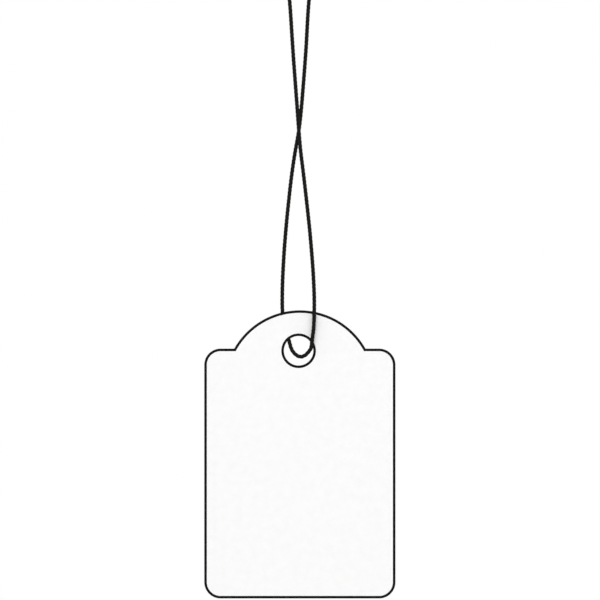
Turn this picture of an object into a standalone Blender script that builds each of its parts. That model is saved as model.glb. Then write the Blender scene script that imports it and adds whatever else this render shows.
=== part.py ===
"""Hang tag: a die-cut card with a domed top, hanging on a knotted loop of twisted black thread.

Metres, +Z up. The card hangs in the XZ plane with its front towards -Y. The origin is the inside of
the loop's top, where a peg or hook carries it. The thread is one length, tied to itself above the
peg. Each stretch of it is a piece of its own, so that it can bend and twist where they meet.
"""
import math

import bmesh
import bpy
import numpy as np
from mathutils import Vector

MM = 0.001

# Card
CARD_WIDTH = 35.1 * MM
CARD_HEIGHT = 52.9 * MM          # bottom edge to the top of the dome
CARD_THICKNESS = 0.35 * MM
DOME_RISE = 7.03 * MM            # top of the dome above the shoulders
DOME_RADIUS = 13.85 * MM
CORNER_RADIUS = 3.0 * MM
HOLE_DIAMETER = 5.4 * MM
HOLE_DROP = 7.43 * MM            # hole's centre below the top of the dome
HOLE_OFFSET = -0.23 * MM         # the hole is punched a little left of the middle

# Thread
THREAD_DIAMETER = 0.62 * MM
PEG_DIAMETER = 5.0 * MM          # what the loop is sized to hang over
PEG_CONTACT = 35.0               # degrees from the peg's top to where the thread lifts off it
HANG_LENGTH = 83.4 * MM          # inside of the loop's top down to the hole's centre
CROSSING_LIFT = 40.45 * MM       # where the two halves cross, above the hole's centre
CROSSING_OFFSET = -0.19 * MM     # and left of the middle
KNOT_LIFT = 1.9 * MM             # inside of the loop's top up to the knot
TAIL_LENGTH = 5.5 * MM           # each cut end beyond the knot
TAIL_SPREAD = 1.5 * MM           # and how far it leans out sideways

# Fits
CLEARANCE = 0.3 * MM             # from the thread to the card, and between stretches of the thread

# Where the thread bends
PEG_MARGIN = 1.5 * MM            # end of the loop's sides below the peg
TILT_LIFT = 20.0 * MM            # flex point above the hole's centre

# Facets
CORNER_STEPS = 10
DOME_STEPS = 40
HOLE_STEPS = 48
KNOT_STEPS = 48
LONGEST_SPAN = 6.5 * THREAD_DIAMETER
SHARPEST_TURN = math.radians(25)
KNOT_VOXEL = THREAD_DIAMETER / 6
KNOT_FACES_KEPT = 0.3

THREAD_RADIUS = THREAD_DIAMETER / 2
LEG = CARD_THICKNESS / 2 + CLEARANCE + THREAD_RADIUS     # the thread's middle off the card's middle
PASS = (THREAD_DIAMETER + CLEARANCE) / 2                 # each half's offset where the halves cross
FLEX = THREAD_RADIUS / 3                                 # and at the flex point above the card
KNOT_RING = 1.4 * THREAD_DIAMETER                        # the knot's turns run round this radius
KNOT_LOBE = 0.84 * THREAD_DIAMETER                       # and swing this far in, out and sideways
PEG_RADIUS = PEG_DIAMETER / 2
HOLE_RADIUS = HOLE_DIAMETER / 2
HOLE_CENTRE = Vector((HOLE_OFFSET, 0.0, -HANG_LENGTH))
CROSSING_PLACE = Vector((CROSSING_OFFSET, 0.0, CROSSING_LIFT - HANG_LENGTH))
TILT_PLACE = Vector((0.0, 0.0, TILT_LIFT - HANG_LENGTH))
PEG_PLACE = Vector((0.0, 0.0, -PEG_RADIUS))
SWING_DROP = PEG_DIAMETER + PEG_MARGIN                   # end of the loop's sides below its top

# The thread's own route. Each half above the crossing, as its place across the picture and its share
# of the way down from the loop's top. The front half comes from the left.
FRONT_ABOVE = [(-1.89 * MM, 0.445), (-1.39 * MM, 0.616), (-0.87 * MM, 0.786), (-0.50 * MM, 0.901),
               (CROSSING_OFFSET, 1.0)]
BACK_ABOVE = [(1.67 * MM, 0.445), (1.22 * MM, 0.616), (0.70 * MM, 0.786), (0.29 * MM, 0.901),
              (CROSSING_OFFSET, 1.0)]
# Each half below the crossing, from the hole's centre: across, and up.
FRONT_BELOW = [(0.36 * MM, 36.8 * MM), (0.81 * MM, 33.1 * MM), (1.45 * MM, 27.6 * MM),
               (2.04 * MM, 22.1 * MM), (2.37 * MM, 18.4 * MM), (2.65 * MM, 14.7 * MM),
               (2.83 * MM, 11.1 * MM), (2.88 * MM, 8.3 * MM), (2.83 * MM, 5.6 * MM),
               (2.71 * MM, 3.7 * MM), (2.55 * MM, 2.5 * MM)]
BACK_BELOW = [(-0.59 * MM, 36.8 * MM), (-1.16 * MM, 33.1 * MM), (-1.81 * MM, 27.6 * MM),
              (-2.35 * MM, 22.1 * MM), (-2.64 * MM, 18.4 * MM), (-2.86 * MM, 14.7 * MM),
              (-2.99 * MM, 11.1 * MM), (-3.01 * MM, 9.2 * MM), (-2.98 * MM, 7.6 * MM),
              (-2.81 * MM, 6.0 * MM), (-2.41 * MM, 4.2 * MM)]
# The bight through the hole, in hole radii across and up, with its share of the leg's offset, from
# the front half (-1) to the back half (1).
BIGHT = [(0.89, 0.48, -1.00), (0.82, 0.14, -0.80), (0.66, -0.09, -0.57), (0.395, -0.333, -0.27),
         (0.117, -0.403, 0.00), (-0.176, -0.274, 0.27), (-0.443, 0.037, 0.56), (-0.612, 0.53, 0.86),
         (-0.696, 0.841, 1.00)]


def material(name, colour, roughness):
    """A plain finish for one piece."""
    made = bpy.data.materials.new(name)
    made.use_nodes = True
    shader = made.node_tree.nodes["Principled BSDF"]
    shader.inputs["Base Color"].default_value = (*colour, 1.0)
    shader.inputs["Roughness"].default_value = roughness
    shader.inputs["Metallic"].default_value = 0.0
    return made


def joint_axis(name, place, parent=None):
    """An empty where a piece turns, so that it carries what moves with it."""
    axis = bpy.data.objects.new(name, None)
    axis.empty_display_size = 2 * MM
    axis.location = place
    if parent is not None:
        axis.parent = parent
        axis.location = place - parent.matrix_world.translation
    bpy.data.collections["hang_tag"].objects.link(axis)
    bpy.context.view_layer.update()
    return axis


def carry(piece, axis):
    """Fasten a piece to a joint's empty, at the empty's own place."""
    piece.parent = axis
    bpy.data.collections["hang_tag"].objects.link(piece)
    return piece


def arc(centre, radius, start, end, steps):
    """Points on an arc, with its angles in degrees."""
    angles = [math.radians(start + (end - start) * i / steps) for i in range(steps + 1)]
    return [(centre[0] + radius * math.cos(a), centre[1] + radius * math.sin(a)) for a in angles]


def card_outline():
    """The die's cutting line, anticlockwise, with the hole's centre at (0, 0)."""
    left = -CARD_WIDTH / 2 - HOLE_OFFSET
    right = left + CARD_WIDTH
    bottom = HOLE_DROP - CARD_HEIGHT
    shoulder = HOLE_DROP - DOME_RISE
    dome = ((left + right) / 2, HOLE_DROP - DOME_RADIUS)
    foot = math.degrees(math.asin((shoulder - dome[1]) / DOME_RADIUS))
    inset = CORNER_RADIUS
    points = arc((left + inset, bottom + inset), inset, 180, 270, CORNER_STEPS)
    points += arc((right - inset, bottom + inset), inset, 270, 360, CORNER_STEPS)
    points += arc((right - inset, shoulder - inset), inset, 0, 90, CORNER_STEPS)
    points += arc(dome, DOME_RADIUS, foot, 180 - foot, DOME_STEPS)
    points += arc((left + inset, shoulder - inset), inset, 90, 180, CORNER_STEPS)
    return points


def add_card(finish, axis):
    """The card: its outline and its punched hole, cut through one thickness."""
    hole = arc((0.0, 0.0), HOLE_RADIUS, 0, 360, HOLE_STEPS)[:-1]
    curve = bpy.data.curves.new("tag_card", "CURVE")
    curve.dimensions = "2D"
    curve.fill_mode = "BOTH"
    curve.extrude = CARD_THICKNESS / 2
    for outline in (card_outline(), hole):
        spline = curve.splines.new("POLY")
        spline.points.add(len(outline) - 1)
        for point, (x, y) in zip(spline.points, outline):
            point.co = (x, y, 0.0, 1.0)
        spline.use_cyclic_u = True
    curve.materials.append(finish)
    card = carry(bpy.data.objects.new("tag_card", curve), axis)
    card.rotation_euler = (math.radians(90), 0.0, 0.0)


def smooth_line(points, per_span=24):
    """A dense line on the cubic spline through the points, whose bend changes without a step."""
    p = np.array(points, float)
    span = np.linalg.norm(np.diff(p, axis=0), axis=1)
    count = len(p)
    rows = np.zeros((count, count))
    known = np.zeros((count, 3))
    rows[0, 0] = 1.0
    rows[-1, -1] = 1.0
    for i in range(1, count - 1):
        rows[i, i - 1:i + 2] = span[i - 1], 2 * (span[i - 1] + span[i]), span[i]
        known[i] = 6 * ((p[i + 1] - p[i]) / span[i] - (p[i] - p[i - 1]) / span[i - 1])
    bend = np.linalg.solve(rows, known)
    line = []
    for i in range(count - 1):
        h = span[i]
        for k in range(per_span):
            b = h * k / per_span
            a = h - b
            line.append((bend[i] * a ** 3 + bend[i + 1] * b ** 3) / (6 * h)
                        + (p[i] / h - bend[i] * h / 6) * a
                        + (p[i + 1] / h - bend[i + 1] * h / 6) * b)
    line.append(p[-1])
    return np.array(line)


def distances(line):
    """How far along a line each of its points lies."""
    return np.concatenate(([0.0], np.cumsum(np.linalg.norm(np.diff(line, axis=0), axis=1))))


def passes(route, height):
    """How far along the route it passes a height, on its way down and on its way up again."""
    along = distances(route)
    lowest = int(np.argmin(route[:, 2]))
    down = np.interp(-height, -route[:lowest + 1, 2], along[:lowest + 1])
    up = np.interp(height, route[lowest:, 2], along[lowest:])
    return float(down), float(up)


def stretch(line, start, end):
    """Points between two distances along a line, closer together where it bends."""
    along = distances(line)
    ahead = np.gradient(line, axis=0)
    ahead /= np.linalg.norm(ahead, axis=1)[:, None]
    turn = np.arccos(np.clip(np.sum(ahead[1:] * ahead[:-1], axis=1), -1.0, 1.0))
    need = np.concatenate(([0.0], np.cumsum(np.diff(along) / LONGEST_SPAN + turn / SHARPEST_TURN)))
    first, last = np.interp((start, end), along, need)
    count = max(2, math.ceil(last - first) + 1)
    at = np.interp(np.linspace(first, last, count), need, along)
    return np.stack([np.interp(at, along, line[:, k]) for k in range(3)], axis=1)


def thread_curve(name, points):
    """A round length of thread along the points, with flat ends."""
    curve = bpy.data.curves.new(name, "CURVE")
    curve.dimensions = "3D"
    curve.bevel_depth = THREAD_RADIUS
    curve.bevel_resolution = 2
    curve.use_fill_caps = True
    spline = curve.splines.new("POLY")
    spline.points.add(len(points) - 1)
    for point, place in zip(spline.points, points):
        point.co = (*place, 1.0)
    return curve


def add_thread(name, points, finish, axis):
    """One stretch of thread, carried by a joint's empty."""
    origin = axis.matrix_world.translation
    curve = thread_curve(name, [Vector(place) - origin for place in points])
    curve.materials.append(finish)
    return carry(bpy.data.objects.new(name, curve), axis)


def loop_side(way):
    """One side of the loop from the knot down round the peg: -1 for the left, 1 for the right.

    It leaves the knot straight down, runs straight to the peg, and lies on it down to its side.
    """
    wrap = PEG_RADIUS + THREAD_RADIUS
    lift_off = math.radians(PEG_CONTACT)
    touch = (wrap * math.sin(lift_off), wrap * math.cos(lift_off) - PEG_RADIUS)
    run = (touch[0] - THREAD_RADIUS) / math.cos(lift_off)
    straight = [(touch[0] - run * share * math.cos(lift_off), touch[1] + run * share * math.sin(lift_off))
                for share in (0.8, 0.4)]
    on_peg = arc((0.0, -PEG_RADIUS), wrap, 90 - PEG_CONTACT, 0, 3)
    points = [(THREAD_RADIUS, KNOT_LIFT), *straight, *on_peg]
    return [(way * x, 0.0, z) for x, z in points]


def hanging_half(above, below, way):
    """One half from under the peg to the hole: -1 passes in front, 1 passes behind."""
    points = []
    for across, share in above:
        points.append((across, way * share * PASS, share * CROSSING_PLACE.z))
    for across, up in below:
        off = np.interp(up, (HOLE_DROP, TILT_LIFT, CROSSING_LIFT), (LEG, FLEX, PASS))
        points.append((HOLE_CENTRE.x + across, way * off, HOLE_CENTRE.z + up))
    return points


def thread_route():
    """The whole loop's middle line, from the knot down the front half and up the back half."""
    bight = [(HOLE_CENTRE.x + across * HOLE_RADIUS, off * LEG, HOLE_CENTRE.z + up * HOLE_RADIUS)
             for across, up, off in BIGHT]
    down = loop_side(-1) + hanging_half(FRONT_ABOVE, FRONT_BELOW, -1)
    up = loop_side(1) + hanging_half(BACK_ABOVE, BACK_BELOW, 1)
    return smooth_line(down + bight + up[::-1])


def knot_pair():
    """The two threads through an overhand knot, side by side, from below it to above it.

    The pair's middle follows a trefoil, which winds twice round a ring and three times through it,
    opened at its left lobe so that the pair comes in from below and leaves upwards.
    """
    opening = 0.36                                  # half of the opened lobe's angle, in radians
    entry = (0.0, 0.7, 1.4)                         # straight runs below and above the turns,
    leaving = (2.4, 3.6, 4.6)                       # in thread diameters
    middle_lift = 2.6 * THREAD_DIAMETER + KNOT_RING
    centre = Vector((KNOT_RING + 0.4 * KNOT_LOBE, 0.0, KNOT_LIFT + middle_lift))
    middle = [Vector((0.0, 0.0, KNOT_LIFT + rise * THREAD_DIAMETER)) for rise in entry]
    for i in range(KNOT_STEPS + 1):
        turn = opening + 2 * (math.pi - opening) * i / KNOT_STEPS
        out = KNOT_RING + KNOT_LOBE * math.cos(3 * turn)
        middle.append(centre + Vector((-out * math.cos(2 * turn), KNOT_LOBE * math.sin(3 * turn),
                                       out * math.sin(2 * turn))))
    top = middle[-1].z
    for rise in leaving:
        middle.append(Vector((0.0, -THREAD_RADIUS, top + rise * THREAD_DIAMETER)))
    line = [Vector(place) for place in smooth_line(middle, 6)]
    across = Vector((1.0, 0.0, 0.0))
    pair = ([], [])
    for i, place in enumerate(line):
        ahead = (line[min(i + 1, len(line) - 1)] - line[max(i - 1, 0)]).normalized()
        across = (across - ahead * across.dot(ahead)).normalized()
        pair[0].append(place - across * THREAD_RADIUS)
        pair[1].append(place + across * THREAD_RADIUS)
    return pair


def shaped_mesh(piece):
    """A mesh of its own from a piece as its curve or its modifiers shape it."""
    bpy.context.view_layer.update()
    return bpy.data.meshes.new_from_object(piece.evaluated_get(bpy.context.evaluated_depsgraph_get()))


def keep_outer_skin(mesh):
    """Drop the skins of the small spaces that pressed threads enclose, so that the knot is solid."""
    skin = bmesh.new()
    skin.from_mesh(mesh)
    unseen = set(skin.verts)
    bodies = []
    while unseen:
        body = {unseen.pop()}
        edge_of_body = list(body)
        while edge_of_body:
            vert = edge_of_body.pop()
            near = {edge.other_vert(vert) for edge in vert.link_edges} & unseen
            unseen -= near
            body |= near
            edge_of_body += near
        bodies.append(body)
    outer = max(bodies, key=len)
    bmesh.ops.delete(skin, geom=[vert for vert in skin.verts if vert not in outer], context="VERTS")
    skin.to_mesh(mesh)
    skin.free()


def add_knot(pair, finish, axis):
    """The pulled knot: its threads are pressed into one another, so their tubes are fused."""
    mesh = bpy.data.meshes.new("end_knot")
    knot = carry(bpy.data.objects.new("end_knot", mesh), axis)
    origin = axis.matrix_world.translation
    joined = bmesh.new()
    for line in pair:
        curve = thread_curve("knot_thread", [place - origin for place in line])
        tube = bpy.data.objects.new("knot_thread", curve)
        bpy.context.scene.collection.objects.link(tube)
        solid = shaped_mesh(tube)
        bpy.data.objects.remove(tube, do_unlink=True)
        joined.from_mesh(solid)
        bpy.data.meshes.remove(solid)
    bmesh.ops.remove_doubles(joined, verts=joined.verts, dist=0.001 * MM)
    joined.to_mesh(mesh)
    joined.free()
    fuse = knot.modifiers.new("fuse", "REMESH")
    fuse.mode = "VOXEL"
    fuse.voxel_size = KNOT_VOXEL
    fuse.use_smooth_shade = True
    fused = shaped_mesh(knot)
    knot.modifiers.remove(fuse)
    keep_outer_skin(fused)
    fused.materials.append(finish)
    knot.data = fused
    bpy.data.meshes.remove(mesh)
    fused.name = "end_knot"
    lighten = knot.modifiers.new("lighten", "DECIMATE")
    lighten.ratio = KNOT_FACES_KEPT


def add_tail(name, start, way, finish, axis):
    """A cut end that leaves the knot upwards and leans out: -1 to the left, 1 to the right."""
    points = []
    for share in (0.0, 0.25, 0.5, 0.75, 1.0):
        lean = share * math.sin(share * math.pi / 2)
        points.append(start + Vector((way * TAIL_SPREAD * lean, 0.0, TAIL_LENGTH * share)))
    add_thread(name, points, finish, axis)


def main():
    for old in list(bpy.data.objects):
        bpy.data.objects.remove(old, do_unlink=True)
    bpy.context.scene.collection.children.link(bpy.data.collections.new("hang_tag"))
    white_card = material("white_card", (0.86, 0.86, 0.85), 0.75)
    black_thread = material("black_thread", (0.012, 0.012, 0.011), 0.8)

    held = joint_axis("loop_hold", Vector((0.0, 0.0, 0.0)))
    swing = joint_axis("side_swing_axis", PEG_PLACE, held)
    twist = joint_axis("twist_axis", CROSSING_PLACE, swing)
    tilt = joint_axis("tilt_axis", TILT_PLACE, twist)
    turn = joint_axis("card_turn_axis", HOLE_CENTRE, tilt)

    add_card(white_card, turn)

    route = thread_route()
    knot_end = float(distances(route)[-1])
    swing_down, swing_up = passes(route, -SWING_DROP)
    cross_down, cross_up = passes(route, CROSSING_PLACE.z)
    tilt_down, tilt_up = passes(route, TILT_PLACE.z)
    half_gap = CLEARANCE / 2
    stretches = (
        ("loop_side_left", half_gap, swing_down, held),
        ("upper_thread_front", swing_down, cross_down, swing),
        ("lower_thread_front", cross_down, tilt_down, twist),
        ("thread_bight", tilt_down, tilt_up, tilt),
        ("lower_thread_back", tilt_up, cross_up, twist),
        ("upper_thread_back", cross_up, swing_up, swing),
        ("loop_side_right", swing_up, knot_end - half_gap, held),
    )
    for name, start, end, axis in stretches:
        add_thread(name, stretch(route, start + half_gap, end - half_gap), black_thread, axis)

    pair = knot_pair()
    add_knot(pair, black_thread, held)
    for name, line, way in (("tail_left", pair[1], -1), ("tail_right", pair[0], 1)):
        add_tail(name, line[-1] + Vector((0.0, 0.0, CLEARANCE)), way, black_thread, held)


main()
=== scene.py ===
import math

import bmesh
import bpy
import numpy as np
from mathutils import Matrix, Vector


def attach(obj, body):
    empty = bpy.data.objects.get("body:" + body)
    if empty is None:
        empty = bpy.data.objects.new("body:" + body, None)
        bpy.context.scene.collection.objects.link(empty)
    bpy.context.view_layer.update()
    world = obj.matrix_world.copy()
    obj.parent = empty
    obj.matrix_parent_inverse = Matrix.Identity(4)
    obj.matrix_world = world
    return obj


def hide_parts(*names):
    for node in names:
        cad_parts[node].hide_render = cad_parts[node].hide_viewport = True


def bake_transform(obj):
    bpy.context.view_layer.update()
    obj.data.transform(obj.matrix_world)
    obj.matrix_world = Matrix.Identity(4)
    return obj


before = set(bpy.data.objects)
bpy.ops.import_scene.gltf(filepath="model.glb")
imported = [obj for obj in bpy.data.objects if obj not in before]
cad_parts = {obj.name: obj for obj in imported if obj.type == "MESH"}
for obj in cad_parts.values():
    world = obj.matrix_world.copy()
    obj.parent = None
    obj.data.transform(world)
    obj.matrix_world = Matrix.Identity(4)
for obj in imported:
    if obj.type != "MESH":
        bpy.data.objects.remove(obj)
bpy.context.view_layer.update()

# The card. One piece of uncoated white board, cut by a steel-rule die that also punches the hole.
# The die's knife rolls the front edge over a little, and leaves the back one sharper. A thin black
# line is printed along the edge and round the hole, before the card is cut.

MM = 0.001
CARD_WIDTH = 35.1 * MM
CARD_HEIGHT = 52.9 * MM          # bottom edge to the top of the dome
CARD_THICKNESS = 0.35 * MM
DOME_RISE = 7.03 * MM            # top of the dome above the shoulders
DOME_RADIUS = 13.85 * MM
CORNER_RADIUS = 3.0 * MM
HOLE_RADIUS = 2.7 * MM
HOLE_OFFSET = -0.23 * MM         # the hole is punched a little left of the middle
HOLE_DROP = 7.43 * MM            # its centre below the top of the dome
HANG_LENGTH = 83.4 * MM          # and below the inside of the loop's top
HOLE_CENTRE = Vector((HOLE_OFFSET, 0.0, -HANG_LENGTH))
LINE_WIDTH = 0.48 * MM           # 0.42 on the real card, but the render thins a dark line a little
FRONT_ROLL = 0.06 * MM
BACK_ROLL = 0.03 * MM
ROLL_SHARE = 0.3                 # of a roll's radius, from both faces to the roll's middle ring
CORNER_STEPS = 24
ROUND_STEPS = 96                 # in the dome, and in the hole


def arc(centre, radius, start, end, steps):
    """Points on an arc in the card's plane, with its angles in degrees."""
    angles = [math.radians(start + (end - start) * i / steps) for i in range(steps + 1)]
    return [(centre[0] + radius * math.cos(a), centre[1] + radius * math.sin(a)) for a in angles]


def card_line(inset):
    """The card's outline, anticlockwise from the front, drawn in from the cut edge by the inset."""
    right = CARD_WIDTH / 2 - inset
    top = HOLE_CENTRE.z + HOLE_DROP
    bottom = top - CARD_HEIGHT + inset
    shoulder = top - DOME_RISE - inset
    corner = CORNER_RADIUS - inset
    dome = DOME_RADIUS - inset
    dome_z = top - DOME_RADIUS
    foot = math.degrees(math.asin((shoulder - dome_z) / dome))
    points = arc((-right + corner, bottom + corner), corner, 180, 270, CORNER_STEPS)
    points += arc((right - corner, bottom + corner), corner, 270, 360, CORNER_STEPS)
    points += arc((right - corner, shoulder - corner), corner, 0, 90, CORNER_STEPS)
    points += arc((0.0, dome_z), dome, foot, 180 - foot, ROUND_STEPS)
    points += arc((-right + corner, shoulder - corner), corner, 90, 180, CORNER_STEPS)
    return points


def hole_line(inset):
    """The hole's outline, grown from its cut edge by the inset."""
    return arc((HOLE_CENTRE.x, HOLE_CENTRE.z), HOLE_RADIUS + inset, 0, 360, ROUND_STEPS)[:-1]


def add_object(name, data):
    """An object in the scene, at the origin."""
    made = bpy.data.objects.new(name, data)
    bpy.context.scene.collection.objects.link(made)
    return made


PAPER, INK, CUT = 0, 1, 2
front_y = -CARD_THICKNESS / 2
back_y = CARD_THICKNESS / 2
front_middle = ROLL_SHARE * FRONT_ROLL
back_middle = ROLL_SHARE * BACK_ROLL
# Each ring of the section, from the printed line's inner side over the edge to the back: its inset,
# its depth, and what the surface beyond it is. The knife takes the ink round the front edge.
section = [(LINE_WIDTH, front_y, INK), (FRONT_ROLL, front_y, INK),
           (front_middle, front_y + front_middle, INK), (0.0, front_y + FRONT_ROLL, CUT),
           (0.0, back_y - BACK_ROLL, CUT), (back_middle, back_y - back_middle, CUT),
           (BACK_ROLL, back_y, CUT)]
card_shape = bmesh.new()
face_edges = {front_y: [], back_y: []}
for outline in (card_line, hole_line):
    rings = []
    for inset, depth, beyond in section:
        rings.append([card_shape.verts.new((x, depth, z)) for x, z in outline(inset)])
    for ring, next_ring, (inset, depth, beyond) in zip(rings, rings[1:], section):
        for i in range(len(ring)):
            j = (i + 1) % len(ring)
            side = card_shape.faces.new((ring[i], ring[j], next_ring[j], next_ring[i]))
            side.material_index = beyond
    for ring, depth in ((rings[0], front_y), (rings[-1], back_y)):
        for i in range(len(ring)):
            face_edges[depth].append(card_shape.edges.get((ring[i], ring[(i + 1) % len(ring)])))
for edges in face_edges.values():
    filled = bmesh.ops.triangle_fill(card_shape, edges=edges, use_beauty=True)
    for made in filled["geom"]:
        if isinstance(made, bmesh.types.BMFace):
            made.material_index = PAPER
bmesh.ops.recalc_face_normals(card_shape, faces=card_shape.faces)
card_mesh = bpy.data.meshes.new("die_cut_card")
card_shape.to_mesh(card_mesh)
card_shape.free()
card = add_object("die_cut_card", card_mesh)


def linear(hex_colour):
    """A colour written as sRGB hex, as the linear values that a shader takes."""
    parts = [int(hex_colour[i:i + 2], 16) / 255 for i in (1, 3, 5)]
    return [c / 12.92 if c <= 0.04045 else ((c + 0.055) / 1.055) ** 2.4 for c in parts] + [1.0]


def add_node(tree, kind, inputs=(), **settings):
    """Add a node with its settings, and with its inputs as values or as another node's output."""
    made = tree.nodes.new(kind)
    for name, value in settings.items():
        setattr(made, name, value)
    for key, value in dict(inputs).items():
        if isinstance(value, bpy.types.NodeSocket):
            tree.links.new(value, made.inputs[key])
        else:
            made.inputs[key].default_value = value
    return made


def new_finish(name):
    """A material, with its node tree and its shader."""
    made = bpy.data.materials.new(name)
    made.use_nodes = True
    return made, made.node_tree, made.node_tree.nodes["Principled BSDF"]


# Uncoated bleached board, calendered once. Its pulp lies in soft clouds about 1.5 mm across, so the
# white isn't quite even, and it has a fine tooth that takes the gloss off it. Fibres are 0.02 mm
# thick, too fine to show, so the tooth is drawn 0.25 mm wide.
CLOUD_SIZE = 1.5 * MM
TOOTH_SIZE = 0.25 * MM
FLECK_SIZE = 0.5 * MM
TOOTH_RELIEF = 0.02 * MM
paper, tree, shader = new_finish("uncoated_bleached_board")
place = add_node(tree, "ShaderNodeTexCoord").outputs["Object"]
clouds = add_node(tree, "ShaderNodeTexNoise", {
    "Vector": place, "Scale": 1 / CLOUD_SIZE, "Detail": 4.0, "Roughness": 0.6})
tooth = add_node(tree, "ShaderNodeTexNoise", {
    "Vector": place, "Scale": 1 / TOOTH_SIZE, "Detail": 3.0})
flecks = add_node(tree, "ShaderNodeTexNoise", {
    "Vector": place, "Scale": 1 / FLECK_SIZE, "Detail": 6.0, "Roughness": 0.75, "Distortion": 1.5})
cloud_share = add_node(tree, "ShaderNodeMapRange", {
    "Value": clouds.outputs["Fac"], "From Min": 0.35, "From Max": 0.65})
white = add_node(tree, "ShaderNodeMix", {
    "Factor": cloud_share.outputs["Result"], "A": linear("#F7F7F7"), "B": linear("#FAFAFA")},
    data_type="RGBA")
fleck_share = add_node(tree, "ShaderNodeMapRange", {
    "Value": flecks.outputs["Fac"], "From Min": 0.62, "From Max": 0.78, "To Max": 0.5})
flecked = add_node(tree, "ShaderNodeMix", {
    "Factor": fleck_share.outputs["Result"], "A": white.outputs["Result"], "B": linear("#EFEFED")},
    data_type="RGBA")
dullness = add_node(tree, "ShaderNodeMapRange", {
    "Value": tooth.outputs["Fac"], "To Min": 0.68, "To Max": 0.86})
relief = add_node(tree, "ShaderNodeMath", {
    0: tooth.outputs["Fac"], 1: clouds.outputs["Fac"]}, operation="ADD")
bump = add_node(tree, "ShaderNodeBump", {
    "Height": relief.outputs["Value"], "Strength": 0.25, "Distance": TOOTH_RELIEF})
tree.links.new(flecked.outputs["Result"], shader.inputs["Base Color"])
tree.links.new(dullness.outputs["Result"], shader.inputs["Roughness"])
tree.links.new(bump.outputs["Normal"], shader.inputs["Normal"])
shader.inputs["Specular IOR Level"].default_value = 0.25

# Black letterpress ink on that board. It sinks into the tooth, so it is matt, and the highest
# fibres take a little less of it, which leaves faint greyer specks.
ink, tree, shader = new_finish("black_ink_on_board")
place = add_node(tree, "ShaderNodeTexCoord").outputs["Object"]
tooth = add_node(tree, "ShaderNodeTexNoise", {
    "Vector": place, "Scale": 1 / TOOTH_SIZE, "Detail": 3.0})
bare_share = add_node(tree, "ShaderNodeMapRange", {
    "Value": tooth.outputs["Fac"], "From Min": 0.5, "From Max": 0.75, "To Max": 0.6})
black = add_node(tree, "ShaderNodeMix", {
    "Factor": bare_share.outputs["Result"], "A": linear("#0F0F0E"), "B": linear("#20201E")},
    data_type="RGBA")
dullness = add_node(tree, "ShaderNodeMapRange", {
    "Value": tooth.outputs["Fac"], "To Min": 0.55, "To Max": 0.8})
bump = add_node(tree, "ShaderNodeBump", {
    "Height": tooth.outputs["Fac"], "Strength": 0.25, "Distance": TOOTH_RELIEF})
tree.links.new(black.outputs["Result"], shader.inputs["Base Color"])
tree.links.new(dullness.outputs["Result"], shader.inputs["Roughness"])
tree.links.new(bump.outputs["Normal"], shader.inputs["Normal"])
shader.inputs["Specular IOR Level"].default_value = 0.06

# The board's cut side. The knife parts three layers of pulp, the middle one a little greyer, and
# leaves the fibre ends standing, so the side is rougher and duller than the faces.
GREY_CORE = CARD_THICKNESS / 8   # off the board's middle, the middle layer is greyest up to here
WHITE_LAYER = CARD_THICKNESS / 4   # and the outer layers are whitest from here
FIBRE_END_SIZE = 0.15 * MM
FIBRE_END_RELIEF = 0.03 * MM
cut, tree, shader = new_finish("die_cut_board_edge")
place = add_node(tree, "ShaderNodeTexCoord").outputs["Object"]
depth = add_node(tree, "ShaderNodeSeparateXYZ", {"Vector": place}).outputs["Y"]
off_middle = add_node(tree, "ShaderNodeMath", {0: depth}, operation="ABSOLUTE")
layer = add_node(tree, "ShaderNodeMapRange", {
    "Value": off_middle.outputs["Value"], "From Min": GREY_CORE, "From Max": WHITE_LAYER})
fibres = add_node(tree, "ShaderNodeTexNoise", {
    "Vector": place, "Scale": 1 / FIBRE_END_SIZE, "Detail": 5.0, "Roughness": 0.7})
layered = add_node(tree, "ShaderNodeMix", {
    "Factor": layer.outputs["Result"], "A": linear("#DAD7CF"), "B": linear("#EFEDE8")},
    data_type="RGBA")
fibre_share = add_node(tree, "ShaderNodeMapRange", {
    "Value": fibres.outputs["Fac"], "From Min": 0.4, "From Max": 0.7, "To Max": 0.5})
worn = add_node(tree, "ShaderNodeMix", {
    "Factor": fibre_share.outputs["Result"], "A": layered.outputs["Result"],
    "B": linear("#CBC8BF")}, data_type="RGBA")
bump = add_node(tree, "ShaderNodeBump", {
    "Height": fibres.outputs["Fac"], "Strength": 0.6, "Distance": FIBRE_END_RELIEF})
tree.links.new(worn.outputs["Result"], shader.inputs["Base Color"])
tree.links.new(bump.outputs["Normal"], shader.inputs["Normal"])
shader.inputs["Roughness"].default_value = 0.9
shader.inputs["Specular IOR Level"].default_value = 0.15

for finish in (paper, ink, cut):
    card_mesh.materials.append(finish)
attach(card, "card")
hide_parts("tag_card")

# The thread. One length of black three-ply twisted polyester, passed through the hole so that its
# halves lie on the card's two faces, crossed once above it and tied to itself over the peg. Its
# plies are made along one path, so that their lay runs on unbroken from piece to piece.

THREAD_DIAMETER = 0.62 * MM
THREAD_RADIUS = THREAD_DIAMETER / 2
PEG_RADIUS = 2.5 * MM
PEG_CONTACT = 35.0               # degrees from the peg's top to where the thread lifts off it
CLEARANCE = 0.3 * MM             # from the thread to the card, and between its halves
CROSSING_LIFT = 40.45 * MM       # where the two halves cross, above the hole's centre
CROSSING_OFFSET = -0.19 * MM     # and left of the middle
TILT_LIFT = 20.0 * MM            # where the thread bends, above the hole's centre
KNOT_LIFT = 1.9 * MM             # inside of the loop's top up to the knot
LEG = CARD_THICKNESS / 2 + CLEARANCE + THREAD_RADIUS   # the thread's middle off the card's middle
PASS = (THREAD_DIAMETER + CLEARANCE) / 2               # each half's offset where the halves cross
FLEX = THREAD_RADIUS / 3                               # and where the thread bends

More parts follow.
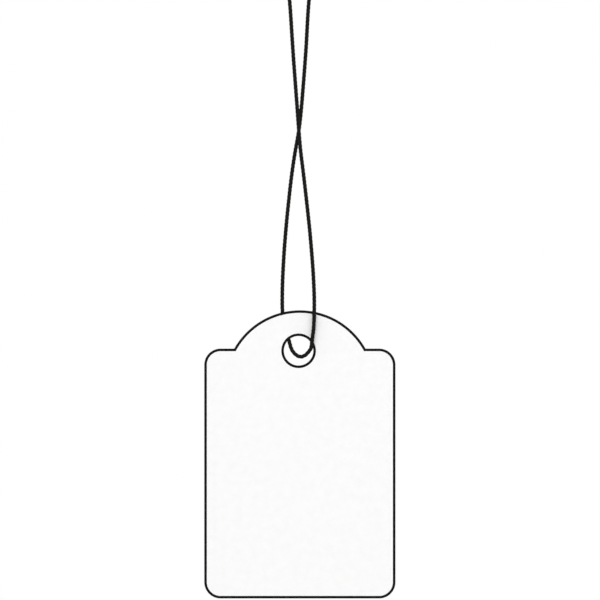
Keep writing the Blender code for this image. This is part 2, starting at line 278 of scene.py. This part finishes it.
# Each half above the crossing: across, and the share of the way down from the loop's top.
front_above = [(-1.89 * MM, 0.445), (-1.39 * MM, 0.616), (-0.87 * MM, 0.786), (-0.50 * MM, 0.901),
               (CROSSING_OFFSET, 1.0)]
back_above = [(1.67 * MM, 0.445), (1.22 * MM, 0.616), (0.70 * MM, 0.786), (0.29 * MM, 0.901),
              (CROSSING_OFFSET, 1.0)]
# Each half below it, from the hole's centre: across, and up.
front_below = [(0.36 * MM, 36.8 * MM), (0.81 * MM, 33.1 * MM), (1.45 * MM, 27.6 * MM),
               (2.04 * MM, 22.1 * MM), (2.37 * MM, 18.4 * MM), (2.65 * MM, 14.7 * MM),
               (2.83 * MM, 11.1 * MM), (2.88 * MM, 8.3 * MM), (2.83 * MM, 5.6 * MM),
               (2.71 * MM, 3.7 * MM), (2.55 * MM, 2.5 * MM)]
back_below = [(-0.59 * MM, 36.8 * MM), (-1.16 * MM, 33.1 * MM), (-1.81 * MM, 27.6 * MM),
              (-2.35 * MM, 22.1 * MM), (-2.64 * MM, 18.4 * MM), (-2.86 * MM, 14.7 * MM),
              (-2.99 * MM, 11.1 * MM), (-3.01 * MM, 9.2 * MM), (-2.98 * MM, 7.6 * MM),
              (-2.81 * MM, 6.0 * MM), (-2.41 * MM, 4.2 * MM)]
# The bight through the hole, in hole radii across and up, and its share of the leg's offset.
bight = [(0.89, 0.48, -1.00), (0.82, 0.14, -0.80), (0.66, -0.09, -0.57), (0.395, -0.333, -0.27),
         (0.117, -0.403, 0.00), (-0.176, -0.274, 0.27), (-0.443, 0.037, 0.56),
         (-0.612, 0.53, 0.86), (-0.696, 0.841, 1.00)]


def smooth_line(points, per_span=24):
    """A dense line on the cubic spline through the points, whose bend changes without a step."""
    p = np.array(points, float)
    span = np.linalg.norm(np.diff(p, axis=0), axis=1)
    count = len(p)
    rows = np.zeros((count, count))
    known = np.zeros((count, 3))
    rows[0, 0] = 1.0
    rows[-1, -1] = 1.0
    for i in range(1, count - 1):
        rows[i, i - 1:i + 2] = span[i - 1], 2 * (span[i - 1] + span[i]), span[i]
        known[i] = 6 * ((p[i + 1] - p[i]) / span[i] - (p[i] - p[i - 1]) / span[i - 1])
    bend = np.linalg.solve(rows, known)
    line = []
    for i in range(count - 1):
        h = span[i]
        for k in range(per_span):
            b = h * k / per_span
            a = h - b
            line.append((bend[i] * a ** 3 + bend[i + 1] * b ** 3) / (6 * h)
                        + (p[i] / h - bend[i] * h / 6) * a
                        + (p[i + 1] / h - bend[i + 1] * h / 6) * b)
    line.append(p[-1])
    return np.array(line)


def loop_side(way):
    """One side of the loop from the knot down round the peg: -1 for the left, 1 for the right."""
    wrap = PEG_RADIUS + THREAD_RADIUS
    lift_off = math.radians(PEG_CONTACT)
    touch = (wrap * math.sin(lift_off), wrap * math.cos(lift_off) - PEG_RADIUS)
    run = (touch[0] - THREAD_RADIUS) / math.cos(lift_off)
    straight = [(touch[0] - run * share * math.cos(lift_off),
                 touch[1] + run * share * math.sin(lift_off)) for share in (0.8, 0.4)]
    on_peg = arc((0.0, -PEG_RADIUS), wrap, 90 - PEG_CONTACT, 0, 3)
    return [(way * x, 0.0, z) for x, z in [(THREAD_RADIUS, KNOT_LIFT), *straight, *on_peg]]


def hanging_half(above, below, way):
    """One half from under the peg to the hole: -1 passes in front, 1 passes behind."""
    points = []
    for across, share in above:
        points.append((across, way * share * PASS, share * (CROSSING_LIFT - HANG_LENGTH)))
    for across, up in below:
        off = np.interp(up, (HOLE_DROP, TILT_LIFT, CROSSING_LIFT), (LEG, FLEX, PASS))
        points.append((HOLE_CENTRE.x + across, way * off, HOLE_CENTRE.z + up))
    return points


in_hole = [(HOLE_CENTRE.x + across * HOLE_RADIUS, off * LEG, HOLE_CENTRE.z + up * HOLE_RADIUS)
           for across, up, off in bight]
down = loop_side(-1) + hanging_half(front_above, front_below, -1)
up_again = loop_side(1) + hanging_half(back_above, back_below, 1)
loop_line = smooth_line(down + in_hole + up_again[::-1])

# The overhand knot's way, tied with both threads side by side. The pair's middle follows a trefoil,
# opened at its left lobe, and each thread ends in a cut tail that leans out of the top.
KNOT_RING = 1.4 * THREAD_DIAMETER    # the knot's turns run round this radius
KNOT_LOBE = 0.84 * THREAD_DIAMETER   # and swing this far in, out and sideways
KNOT_ASIDE = KNOT_RING + 0.4 * KNOT_LOBE
KNOT_OPENING = 0.36                  # half of the opened lobe's angle, in radians
KNOT_STEPS = 48
KNOT_ENTRY = (0.0, 0.7, 1.4)         # straight runs below the turns, in thread diameters
KNOT_TURNS_LIFT = 2.6                # bottom of the turns above the knot's start, likewise
KNOT_LEAVING = (2.4, 3.6, 4.6)       # and the straight runs above them
TAIL_LENGTH = 5.5 * MM
TAIL_SPREAD = 1.5 * MM
TAIL_STEPS = 12
knot_middle = [Vector((0.0, 0.0, KNOT_LIFT + rise * THREAD_DIAMETER)) for rise in KNOT_ENTRY]
knot_centre = Vector((KNOT_ASIDE, 0.0, KNOT_LIFT + KNOT_TURNS_LIFT * THREAD_DIAMETER + KNOT_RING))
for i in range(KNOT_STEPS + 1):
    turn = KNOT_OPENING + 2 * (math.pi - KNOT_OPENING) * i / KNOT_STEPS
    out = KNOT_RING + KNOT_LOBE * math.cos(3 * turn)
    knot_middle.append(knot_centre + Vector((
        -out * math.cos(2 * turn), KNOT_LOBE * math.sin(3 * turn), out * math.sin(2 * turn))))
knot_top = knot_middle[-1].z
for rise in KNOT_LEAVING:
    knot_middle.append(Vector((0.0, -THREAD_RADIUS, knot_top + rise * THREAD_DIAMETER)))
knot_line = [Vector(point) for point in smooth_line(knot_middle, per_span=6)]
sideways = Vector((1.0, 0.0, 0.0))
strands = ([], [])
for i, point in enumerate(knot_line):
    ahead = (knot_line[min(i + 1, len(knot_line) - 1)] - knot_line[max(i - 1, 0)]).normalized()
    sideways = (sideways - ahead * sideways.dot(ahead)).normalized()
    for strand, side in zip(strands, (-1, 1)):
        strand.append(point + sideways * side * THREAD_RADIUS)
for strand, lean in zip(strands, (1, -1)):
    cut_end = strand[-1]
    for i in range(1, TAIL_STEPS + 1):
        share = i / TAIL_STEPS
        leaning = lean * TAIL_SPREAD * share * math.sin(share * math.pi / 2)
        strand.append(cut_end + Vector((leaning, 0.0, TAIL_LENGTH * share)))

# The whole thread from one cut end to the other, and how far along it each of its points lies.
whole = np.array([*strands[0][:0:-1], *loop_line, *strands[1][1:]])
along = np.concatenate(([0.0], np.cumsum(np.linalg.norm(np.diff(whole, axis=0), axis=1))))
loop_first = len(strands[0]) - 1
loop_last = loop_first + len(loop_line) - 1
lowest = loop_first + int(np.argmin(loop_line[:, 2]))
thread_length = float(along[-1])
knot_left = float(along[loop_first])
knot_right = float(along[loop_last])


def passes(height):
    """How far along the thread passes a height, on its way down the loop and on its way up."""
    falling = np.interp(-height, -whole[loop_first:lowest + 1, 2], along[loop_first:lowest + 1])
    rising = np.interp(height, whole[lowest:loop_last + 1, 2], along[lowest:loop_last + 1])
    return float(falling), float(rising)


path = bpy.data.curves.new("thread_path", "CURVE")
path.dimensions = "3D"
path_spline = path.splines.new("POLY")
path_spline.points.add(len(whole) - 1)
for point, (x, y, z) in zip(path_spline.points, whole):
    point.co = (x, y, z, 1.0)

# Three plies wound round the whole path, each a round strand that presses into its neighbours. At
# the cut ends they spring apart. Each ply carries where it lies along and round itself, for its
# fibres. The faces outside a piece's own stretch go last, so that neighbours share their end rings.
PLIES = 3
RING_POINTS = 12
lay = bpy.data.node_groups.new("three_ply_lay", "GeometryNodeTree")
lay_sizes = ("Ply Radius", "Ply Offset", "Lay Length", "Step", "Start", "End", "Fray Length",
             "Fray Spread", "Fibre Lay")
lay_inputs = {}
for name, kind in (("Geometry", "NodeSocketGeometry"),
                   *((size, "NodeSocketFloat") for size in lay_sizes),
                   ("Finish", "NodeSocketMaterial")):
    lay_inputs[name] = lay.interface.new_socket(name, in_out="INPUT", socket_type=kind).identifier
lay.interface.new_socket("Geometry", in_out="OUTPUT", socket_type="NodeSocketGeometry")
given = add_node(lay, "NodeGroupInput").outputs
even = add_node(lay, "GeometryNodeResampleCurve", {
    "Curve": given["Geometry"], "Length": given["Step"]}, mode="LENGTH")
spline_length = add_node(lay, "GeometryNodeSplineParameter").outputs["Length"]
whole_length = add_node(lay, "GeometryNodeSplineLength").outputs["Length"]
marked = add_node(lay, "GeometryNodeStoreNamedAttribute", {
    "Geometry": even.outputs["Curve"], "Name": "along", "Value": spline_length},
    data_type="FLOAT", domain="POINT")
to_end = add_node(lay, "ShaderNodeMath", {
    0: whole_length, 1: spline_length}, operation="SUBTRACT")
nearest_end = add_node(lay, "ShaderNodeMath", {
    0: to_end.outputs["Value"], 1: spline_length}, operation="MINIMUM")
fray_share = add_node(lay, "ShaderNodeMapRange", {
    "Value": nearest_end.outputs["Value"], "From Min": given["Fray Length"], "From Max": 0.0})
fray_curve = add_node(lay, "ShaderNodeMath", {
    0: fray_share.outputs["Result"], 1: 2.0}, operation="POWER")
fray = add_node(lay, "ShaderNodeMath", {
    0: fray_curve.outputs["Value"], 1: given["Fray Spread"], 2: given["Ply Offset"]},
    operation="MULTIPLY_ADD")
plies = add_node(lay, "GeometryNodeDuplicateElements", {
    "Geometry": marked.outputs["Geometry"], "Amount": PLIES}, domain="SPLINE")
turns = add_node(lay, "ShaderNodeMath", {
    0: spline_length, 1: given["Lay Length"]}, operation="DIVIDE")
ply_start = add_node(lay, "ShaderNodeMath", {
    0: plies.outputs["Duplicate Index"], 1: PLIES}, operation="DIVIDE")
turned = add_node(lay, "ShaderNodeMath", {
    0: turns.outputs["Value"], 1: ply_start.outputs["Value"]}, operation="ADD")
angle = add_node(lay, "ShaderNodeMath", {
    0: turned.outputs["Value"], 1: math.tau}, operation="MULTIPLY")
normal = add_node(lay, "GeometryNodeInputNormal").outputs["Normal"]
tangent = add_node(lay, "GeometryNodeInputTangent").outputs["Tangent"]
side = add_node(lay, "ShaderNodeVectorMath", {0: tangent, 1: normal}, operation="CROSS_PRODUCT")
cosine = add_node(lay, "ShaderNodeMath", {0: angle.outputs["Value"]}, operation="COSINE")
sine = add_node(lay, "ShaderNodeMath", {0: angle.outputs["Value"]}, operation="SINE")
on_normal = add_node(lay, "ShaderNodeVectorMath", {
    0: normal, "Scale": cosine.outputs["Value"]}, operation="SCALE")
on_side = add_node(lay, "ShaderNodeVectorMath", {
    0: side.outputs["Vector"], "Scale": sine.outputs["Value"]}, operation="SCALE")
outwards = add_node(lay, "ShaderNodeVectorMath", {
    0: on_normal.outputs["Vector"], 1: on_side.outputs["Vector"]}, operation="ADD")
offset = add_node(lay, "ShaderNodeVectorMath", {
    0: outwards.outputs["Vector"], "Scale": fray.outputs["Value"]}, operation="SCALE")
wound = add_node(lay, "GeometryNodeSetPosition", {
    "Geometry": plies.outputs["Geometry"], "Offset": offset.outputs["Vector"]})
ring = add_node(lay, "GeometryNodeCurvePrimitiveCircle", {
    "Resolution": RING_POINTS, "Radius": given["Ply Radius"]}, mode="RADIUS")
ring_share = add_node(lay, "GeometryNodeSplineParameter").outputs["Factor"]
marked_ring = add_node(lay, "GeometryNodeStoreNamedAttribute", {
    "Geometry": ring.outputs["Curve"], "Name": "around", "Value": ring_share},
    data_type="FLOAT", domain="POINT")
solid = add_node(lay, "GeometryNodeCurveToMesh", {
    "Curve": wound.outputs["Geometry"], "Profile Curve": marked_ring.outputs["Geometry"],
    "Fill Caps": True})
marked_along = add_node(lay, "GeometryNodeInputNamedAttribute", {"Name": "along"},
                        data_type="FLOAT").outputs["Attribute"]
marked_around = add_node(lay, "GeometryNodeInputNamedAttribute", {"Name": "around"},
                         data_type="FLOAT").outputs["Attribute"]
fibre_turns = add_node(lay, "ShaderNodeMath", {
    0: marked_along, 1: given["Fibre Lay"]}, operation="DIVIDE")
fibre_place = add_node(lay, "ShaderNodeMath", {
    0: fibre_turns.outputs["Value"], 1: marked_around}, operation="ADD")
fibre_angle = add_node(lay, "ShaderNodeMath", {
    0: fibre_place.outputs["Value"], 1: math.tau}, operation="MULTIPLY")
fibre_cos = add_node(lay, "ShaderNodeMath", {0: fibre_angle.outputs["Value"]}, operation="COSINE")
fibre_sin = add_node(lay, "ShaderNodeMath", {0: fibre_angle.outputs["Value"]}, operation="SINE")
fibre_along = add_node(lay, "ShaderNodeMath", {0: marked_along, 1: 1 / MM}, operation="MULTIPLY")
fibre = add_node(lay, "ShaderNodeCombineXYZ", {
    "X": fibre_cos.outputs["Value"], "Y": fibre_sin.outputs["Value"],
    "Z": fibre_along.outputs["Value"]})
fibred = add_node(lay, "GeometryNodeStoreNamedAttribute", {
    "Geometry": solid.outputs["Mesh"], "Name": "fibre", "Value": fibre.outputs["Vector"]},
    data_type="FLOAT_VECTOR", domain="POINT")
before = add_node(lay, "ShaderNodeMath", {
    0: marked_along, 1: given["Start"]}, operation="LESS_THAN")
after = add_node(lay, "ShaderNodeMath", {
    0: marked_along, 1: given["End"]}, operation="GREATER_THAN")
elsewhere = add_node(lay, "ShaderNodeMath", {
    0: before.outputs["Value"], 1: after.outputs["Value"]}, operation="MAXIMUM")
kept = add_node(lay, "GeometryNodeDeleteGeometry", {
    "Geometry": fibred.outputs["Geometry"], "Selection": elsewhere.outputs["Value"]},
    domain="FACE")
real = add_node(lay, "GeometryNodeRealizeInstances", {"Geometry": kept.outputs["Geometry"]})
finished = add_node(lay, "GeometryNodeSetMaterial", {
    "Geometry": real.outputs["Geometry"], "Material": given["Finish"]})
add_node(lay, "NodeGroupOutput", {"Geometry": finished.outputs["Geometry"]})

# Dyed black polyester, spun and lightly waxed. Its fibres run the other way round from the plies,
# as fine streaks. They are 0.015 mm thick, too fine to show, so the streaks are drawn 0.1 mm wide.
STREAK_SCALE = (2.4, 2.4, 0.8)   # cells round a ring of radius 1, and along a millimetre
STREAK_RELIEF = 0.04 * MM
LINT_SIZE = 0.9 * MM
thread_finish, tree, shader = new_finish("black_twisted_polyester")
fibre_at = add_node(tree, "ShaderNodeAttribute", attribute_name="fibre").outputs["Vector"]
stretched = add_node(tree, "ShaderNodeMapping", {"Vector": fibre_at, "Scale": STREAK_SCALE})
streaks = add_node(tree, "ShaderNodeTexNoise", {
    "Vector": stretched.outputs["Vector"], "Scale": 1.0, "Detail": 4.0, "Roughness": 0.65})
lint_place = add_node(tree, "ShaderNodeTexCoord").outputs["Object"]
lint = add_node(tree, "ShaderNodeTexNoise", {
    "Vector": lint_place, "Scale": 1 / LINT_SIZE, "Detail": 2.0})
streak_share = add_node(tree, "ShaderNodeMapRange", {
    "Value": streaks.outputs["Fac"], "From Min": 0.35, "From Max": 0.7})
dyed = add_node(tree, "ShaderNodeMix", {
    "Factor": streak_share.outputs["Result"], "A": linear("#0C0C0B"), "B": linear("#1A1A18")},
    data_type="RGBA")
lint_share = add_node(tree, "ShaderNodeMapRange", {
    "Value": lint.outputs["Fac"], "From Min": 0.55, "From Max": 0.8, "To Max": 0.5})
dusted = add_node(tree, "ShaderNodeMix", {
    "Factor": lint_share.outputs["Result"], "A": dyed.outputs["Result"], "B": linear("#242421")},
    data_type="RGBA")
dullness = add_node(tree, "ShaderNodeMapRange", {
    "Value": streaks.outputs["Fac"], "To Min": 0.5, "To Max": 0.8})
bump = add_node(tree, "ShaderNodeBump", {
    "Height": streaks.outputs["Fac"], "Strength": 0.8, "Distance": STREAK_RELIEF})
tree.links.new(dusted.outputs["Result"], shader.inputs["Base Color"])
tree.links.new(dullness.outputs["Result"], shader.inputs["Roughness"])
tree.links.new(bump.outputs["Normal"], shader.inputs["Normal"])
shader.inputs["Specular IOR Level"].default_value = 0.08

# How every piece of the thread is laid up. Over its plies it is 0.75 mm across, because the grooves
# between them make a thread look thinner than its gauge.
thread_lay = {
    "Ply Radius": 0.255 * MM,
    "Ply Offset": 0.12 * MM,
    "Lay Length": 2.2 * MM,
    "Step": 0.11 * MM,
    "Fray Length": 1.6 * MM,
    "Fray Spread": 0.3 * MM,
    "Fibre Lay": -1.4 * MM,
    "Finish": thread_finish,
}


def thread_piece(name, ranges):
    """One piece of the thread: its plies between distances along the path, ends closed."""
    joined = bmesh.new()
    for start, end in ranges:
        guide = add_object("thread_guide", path)
        wind = guide.modifiers.new("three_ply_lay", "NODES")
        wind.node_group = lay
        for key, value in (*thread_lay.items(), ("Start", start), ("End", end)):
            wind[lay_inputs[key]] = value
        bpy.context.view_layer.update()
        seen = guide.evaluated_get(bpy.context.evaluated_depsgraph_get())
        part_mesh = bpy.data.meshes.new_from_object(seen)
        bpy.data.objects.remove(guide, do_unlink=True)
        joined.from_mesh(part_mesh)
        bpy.data.meshes.remove(part_mesh)
    open_edges = [edge for edge in joined.edges if edge.is_boundary]
    for edge in open_edges:
        edge.smooth = False
    bmesh.ops.holes_fill(joined, edges=open_edges)
    mesh = bpy.data.meshes.new(name)
    joined.to_mesh(mesh)
    joined.free()
    mesh.materials.append(thread_finish)
    return add_object(name, mesh)


# The knot with its two cut tails, pulled tight above the peg, so it stays with the loop's top. Its
# ranges run a little beyond both cut ends, so that no face of theirs is left out.
BEYOND = 1.0 * MM
knot = thread_piece("knot_and_tails", [(-BEYOND, knot_left), (knot_right, thread_length + BEYOND)])
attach(knot, "hanging_loop")
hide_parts("end_knot", "tail_left", "tail_right")

# The loop's two sides, which lie on the peg and hang down to above the crossing.
UPPER_CUT = -29.0 * MM
upper_down, upper_up = passes(UPPER_CUT)


upper_left = thread_piece("thread_upper_left", [(knot_left, upper_down)])
upper_right = thread_piece("thread_upper_right", [(upper_up, knot_right)])
for piece in (upper_left, upper_right):
    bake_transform(piece)
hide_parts("loop_side_left", "upper_thread_front")
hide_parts("loop_side_right", "upper_thread_back")

# The two halves where they cross, the one from the left in front.
LOWER_CUT = -59.4 * MM
lower_down, lower_up = passes(LOWER_CUT)
middle_front = thread_piece("thread_middle_front", [(upper_down, lower_down)])
middle_back = thread_piece("thread_middle_back", [(lower_up, upper_up)])
for piece in (middle_front, middle_back):
    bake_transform(piece)
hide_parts("lower_thread_front")
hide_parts("lower_thread_back")

# The lowest stretch, which comes down in front of the card, turns through the hole and goes up
through_hole = thread_piece("thread_through_hole", [(lower_down, lower_up)])
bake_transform(through_hole)
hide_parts("thread_bight")

# The surroundings: a pale floor below the tag that fades into white, white all round, two soft
# lamps in front and one behind.

FLOOR_Z = -165 * MM
FLOOR_RADIUS = 0.45
FADE_START = 0.12                # from the floor's middle
FADE_END = 0.36
floor_mesh = bpy.data.meshes.new("floor")
floor_shape = bmesh.new()
bmesh.ops.create_circle(floor_shape, cap_ends=True, segments=ROUND_STEPS, radius=FLOOR_RADIUS)
floor_shape.to_mesh(floor_mesh)
floor_shape.free()
floor = add_object("floor", floor_mesh)
floor.location = (0.0, 0.0, FLOOR_Z)
pale, tree, shader = new_finish("pale_floor")
shader.inputs["Base Color"].default_value = linear("#F4F4F3")
shader.inputs["Roughness"].default_value = 0.9
shader.inputs["Specular IOR Level"].default_value = 0.0
place = add_node(tree, "ShaderNodeTexCoord").outputs["Object"]
out_from_middle = add_node(tree, "ShaderNodeVectorMath", {0: place}, operation="LENGTH")
fade = add_node(tree, "ShaderNodeMapRange", {
    "Value": out_from_middle.outputs["Value"], "From Min": FADE_START, "From Max": FADE_END},
    interpolation_type="SMOOTHSTEP")
glow = add_node(tree, "ShaderNodeEmission", {"Color": (1.0, 1.0, 1.0, 1.0), "Strength": 1.0})
faded = add_node(tree, "ShaderNodeMixShader", {
    0: fade.outputs["Result"], 1: shader.outputs["BSDF"], 2: glow.outputs["Emission"]})
tree.links.new(faded.outputs["Shader"], tree.nodes["Material Output"].inputs["Surface"])
floor_mesh.materials.append(pale)

SURROUND_LIGHT = 0.6             # from the white all round, which the camera sees at strength 1
world = bpy.data.worlds.new("studio")
bpy.context.scene.world = world
world.use_nodes = True
tree = world.node_tree
rays = add_node(tree, "ShaderNodeLightPath").outputs
seen_or_mirrored = add_node(tree, "ShaderNodeMath", {
    0: rays["Is Camera Ray"], 1: rays["Is Glossy Ray"]}, operation="MAXIMUM")
bare = add_node(tree, "ShaderNodeMath", {
    0: seen_or_mirrored.outputs["Value"], 1: rays["Is Transmission Ray"]}, operation="MAXIMUM")
strength = add_node(tree, "ShaderNodeMapRange", {
    "Value": bare.outputs["Value"], "To Min": SURROUND_LIGHT, "To Max": 1.0})
tree.nodes["Background"].inputs["Color"].default_value = (1.0, 1.0, 1.0, 1.0)
tree.links.new(strength.outputs["Result"], tree.nodes["Background"].inputs["Strength"])

aim = Vector((0.0, 0.0, -70 * MM))
for name, at, size, power in (("key_lamp", (-0.12, -0.8, 0.45), 0.6, 3.1),
                              ("fill_lamp", (0.65, -0.55, 0.05), 1.0, 1.2),
                              ("back_lamp", (0.25, 0.75, 0.5), 1.0, 4.2)):
    light = bpy.data.lights.new(name, "AREA")
    light.energy = power
    light.size = size
    lamp = add_object(name, light)
    lamp.location = at
    lamp.rotation_euler = (aim - lamp.location).to_track_quat("-Z", "Y").to_euler()
bpy.context.scene.view_settings.view_transform = "Standard"

# The camera looks straight at the card's front from 0.6 m, as the drawing does.

VIEW_WIDTH = 110.16 * MM
VIEW_DISTANCE = 0.6
VIEW_MIDDLE_X = 0.026 * MM
VIEW_MIDDLE_Z = -74.08 * MM
lens = bpy.data.cameras.new("camera")
lens.sensor_width = 36.0
lens.lens = lens.sensor_width * VIEW_DISTANCE / VIEW_WIDTH
camera = add_object("camera", lens)
camera.location = (VIEW_MIDDLE_X, -VIEW_DISTANCE, VIEW_MIDDLE_Z)
camera.rotation_euler = (math.radians(90), 0.0, 0.0)
bpy.context.scene.camera = camera
